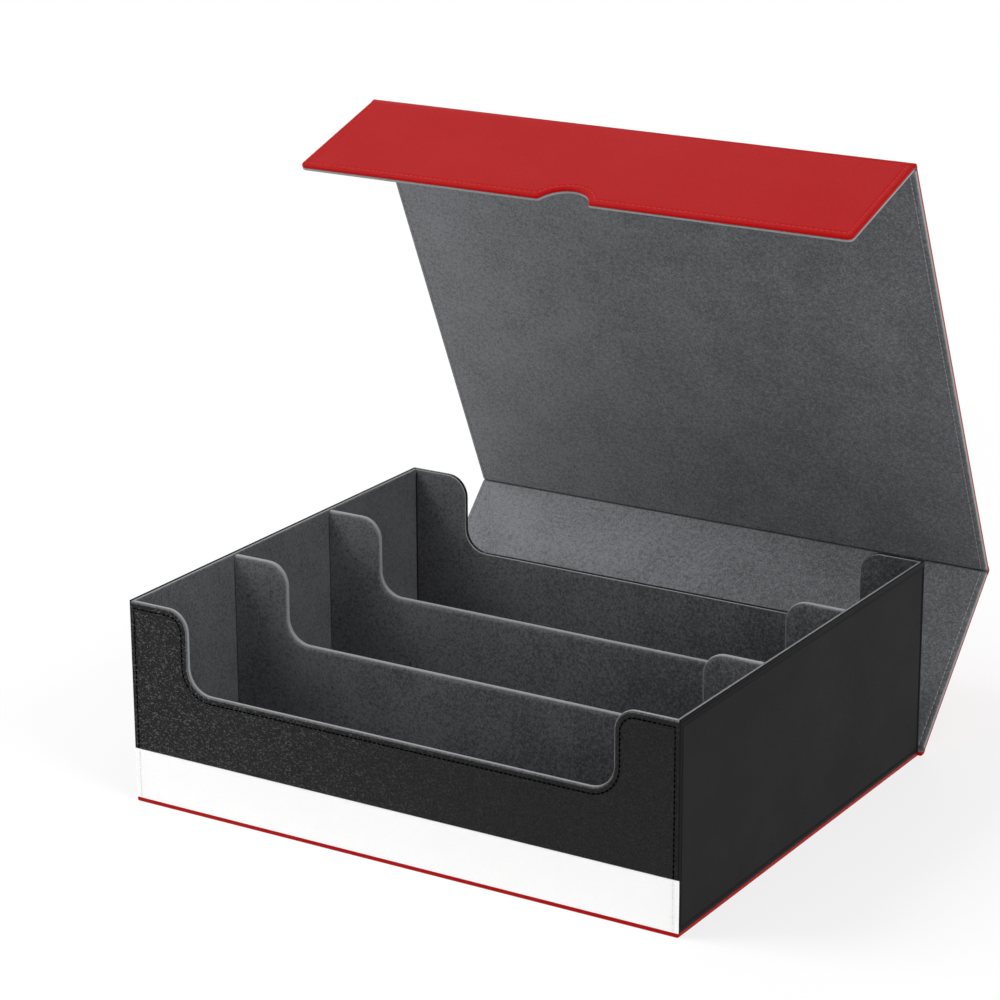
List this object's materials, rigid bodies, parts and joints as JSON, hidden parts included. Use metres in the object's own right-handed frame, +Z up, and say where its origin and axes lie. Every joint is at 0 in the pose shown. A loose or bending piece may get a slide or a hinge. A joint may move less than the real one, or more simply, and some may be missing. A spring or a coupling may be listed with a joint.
{
  "type": "card storage box",
  "caption": "Lined card storage box with dipped walls, rows split by dividers, and a hinged cover of spine, lid and magnetic flap.",
  "frame": {"origin": "middle of the underside of the base panel, on the surface that the box stands on", "axes": "+X along the front, to the right as seen from the front; +Y to the back; +Z up"},
  "size_m": [0.324, 0.3456, 0.3283],
  "materials": {
    "red_leatherette": "semi-matt leatherette with a fine grain",
    "black_leatherette": "matt leatherette with a pebble grain",
    "white_leatherette": "matt leatherette with a fine grain",
    "tray_microfibre": "brushed microfibre with a short nap",
    "cover_microfibre": "brushed microfibre with a short nap",
    "grey_board": "uncoated grey board",
    "magnet_metal": "plain nickel plate"
  },
  "bodies": {
    "tray": {"base_skin": "red_leatherette", "base_board": "grey_board", "base_crease": "red_leatherette", "floor_board": "grey_board", "floor_lining": "tray_microfibre", "front_board": "grey_board", "back_board": "grey_board", "left_board": "grey_board", "right_board": "grey_board", "front_skin": "black_leatherette", "front_band": "white_leatherette", "back_skin": "black_leatherette", "left_skin": "black_leatherette", "right_skin": "black_leatherette", "front_lining": "tray_microfibre", "back_lining": "tray_microfibre", "left_lining": "tray_microfibre", "right_lining": "tray_microfibre", "front_divider_board": "grey_board", "front_divider_wrap": "tray_microfibre", "rear_divider_board": "grey_board", "rear_divider_wrap": "tray_microfibre", "tray_magnets": "magnet_metal"},
    "spine": {"spine_skin": "red_leatherette", "spine_board": "grey_board", "spine_lining": "cover_microfibre", "lid_crease": "red_leatherette"},
    "lid": {"lid_skin": "red_leatherette", "lid_board": "grey_board", "lid_lining": "cover_microfibre", "flap_crease": "red_leatherette"},
    "flap": {"flap_skin": "red_leatherette", "flap_board": "grey_board", "flap_lining": "cover_microfibre", "flap_magnets": "magnet_metal"}
  },
  "joints": [
    {"name": "spine_fold", "type": "hinge", "parent": "tray", "child": "spine", "pos_m": [0, 0.1348, 0.00195], "axis": [-1, 0, 0], "range_deg": [-44, 46]},
    {"name": "lid_fold", "type": "hinge", "parent": "spine", "child": "lid", "pos_m": [0, 0.21146, 0.08133], "axis": [-1, 0, 0], "range_deg": [-21.5, 68.5]},
    {"name": "flap_fold", "type": "hinge", "parent": "lid", "child": "flap", "pos_m": [0, 0.09965, 0.32665], "axis": [-1, 0, 0], "range_deg": [-6.5, 83.5]}
  ]
}
